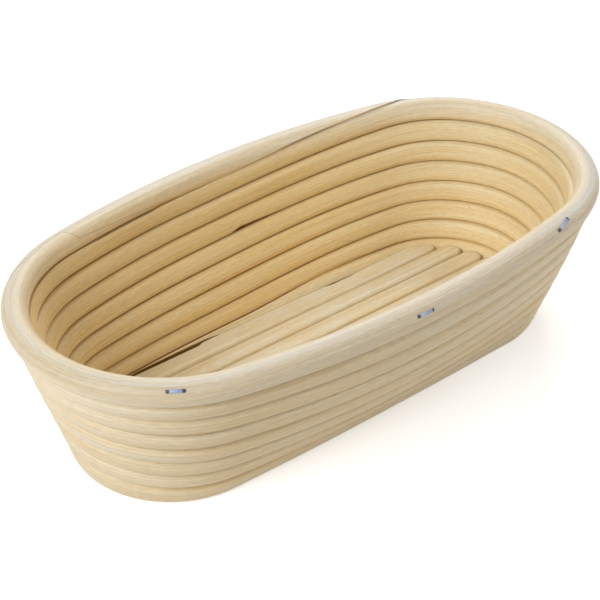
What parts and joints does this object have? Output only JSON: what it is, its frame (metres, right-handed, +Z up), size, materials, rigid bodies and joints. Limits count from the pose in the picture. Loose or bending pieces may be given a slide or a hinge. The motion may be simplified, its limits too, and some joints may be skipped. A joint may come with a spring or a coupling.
{
  "type": "proofing basket",
  "caption": "Oval bread proofing basket: round rattan cane coiled up a flared wall round a floor of straight canes, with a thicker stapled rim and a rounded open mouth.",
  "frame": {"origin": "on the table, under the middle of the basket floor", "axes": "+X along the basket, +Y across it towards the side where the cane climbs, +Z up"},
  "size_m": [0.2994, 0.158, 0.0791],
  "materials": {
    "wall_cane": "peeled rattan cane, matt, fine fibres along the cane",
    "rim_cane": "peeled rattan cane, sanded, pale",
    "floor_cane": "straight peeled rattan cane, planed flat underneath",
    "steel_wire": "bright drawn wire",
    "blue_wire": "pale blue lacquer on flat wire"
  },
  "bodies": {
    "root": {"wall_cane_lower": "wall_cane", "wall_cane_upper": "wall_cane", "rim_tail": "rim_cane", "floor_cane_1": "floor_cane", "floor_cane_2": "floor_cane", "floor_cane_3": "floor_cane", "floor_cane_4": "floor_cane", "floor_cane_5": "floor_cane", "floor_cane_6": "floor_cane", "floor_cane_7": "floor_cane", "floor_pins": "steel_wire", "turn_nails": "steel_wire", "rim_staples": "blue_wire"}
  },
  "joints": []
}
